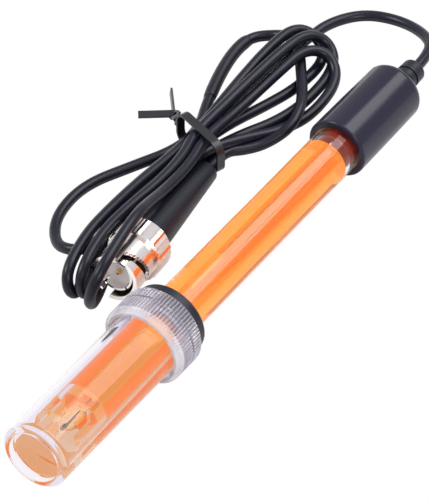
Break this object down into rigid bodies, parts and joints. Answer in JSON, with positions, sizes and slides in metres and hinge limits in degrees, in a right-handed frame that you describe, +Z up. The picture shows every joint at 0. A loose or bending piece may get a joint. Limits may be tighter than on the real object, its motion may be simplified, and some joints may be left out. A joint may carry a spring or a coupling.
{
  "type": "redox electrode",
  "caption": "Gel-filled redox electrode in a clear tube with black handle, lying in its storage bottle beside a tied cable with a bayonet plug.",
  "frame": {"origin": "on the table, under the middle of the electrode and its bottle, cable left out", "axes": "+X along the electrode from the storage bottle towards the handle, +Y towards the tied cable, +Z up"},
  "size_m": [0.1784, 0.0582, 0.0211],
  "materials": {
    "clear_tube": "clear polished plastic tube",
    "clear_resin": "clear cast resin",
    "sensor_glass": "clear drawn glass",
    "platinum": "bright drawn wire",
    "white_ceramic": "porous",
    "silver_chloride": "grey-brown coating",
    "silver": "drawn wire",
    "amber_gel": "clear amber gel",
    "dark_potting": "dark cast resin",
    "white_plastic": "smooth",
    "black_handle": "moulded, satin",
    "black_rubber": "moulded, satin",
    "clear_bottle": "clear moulded",
    "storage_liquid": "clear liquid, tinted by the gel behind it",
    "clear_cap": "clear moulded, fine ribs",
    "black_cable": "smooth jacket",
    "black_sleeve": "shrunk sleeve, no print",
    "black_tie": "flat plastic-covered wire",
    "nickel": "bright nickel plate",
    "gold_pin": "gold-flashed",
    "dark_gasket": "smooth",
    "black_boot": "moulded, satin"
  },
  "bodies": {
    "electrode": {"body_tube": "clear_tube", "tip_plug": "clear_resin", "glass_stem": "sensor_glass", "platinum_pin": "platinum", "platinum_lead": "platinum", "reference_junction": "white_ceramic", "reference_element": "silver_chloride", "reference_wire": "silver", "electrolyte_gel": "amber_gel", "potting_plug": "dark_potting", "coax_core": "white_plastic", "handle_cap": "black_handle", "strain_relief": "black_rubber", "cable_lead": "black_cable", "cable_marker_run": "black_cable", "cable_loose_loop": "black_cable", "cable_tail": "black_cable", "cable_hank": "black_cable", "marker_sleeve": "black_sleeve", "twist_tie": "black_tie", "connector_body": "nickel", "connector_insulator": "white_plastic", "centre_pin": "gold_pin", "connector_gasket": "dark_gasket", "spring_washer": "nickel", "crimp_ferrule": "nickel", "connector_boot": "black_boot"},
    "bottle": {"storage_vial": "clear_bottle", "storage_solution": "storage_liquid"},
    "bottle_seal": {"seal_ring": "black_rubber"},
    "bottle_cap": {"knurled_cap": "clear_cap"},
    "plug_nut": {"coupling_nut": "nickel"}
  },
  "joints": [
    {"name": "bottle_slide", "type": "slide", "parent": "electrode", "child": "bottle", "axis": [-0.9995, 0, 0.0301], "range_m": [0, 0.056]},
    {"name": "seal_lift", "type": "slide", "parent": "bottle", "child": "bottle_seal", "axis": [0.9995, 0, -0.0301], "range_m": [0, 0.00601]},
    {"name": "cap_turn", "type": "hinge", "parent": "bottle_seal", "child": "bottle_cap", "pos_m": [-0.03281, 0, 0.01051], "axis": [0.9995, 0, -0.0301], "range_deg": [0, 864]},
    {"name": "nut_turn", "type": "hinge", "parent": "electrode", "child": "plug_nut", "pos_m": [-0.01426, 0.01953, 0.00797], "axis": [0.984, 0.1208, -0.1309], "continuous": true}
  ],
  "couplings": [
    {"joint": "seal_lift", "follows": "cap_turn", "m_per_rad": 0.00039789}
  ]
}
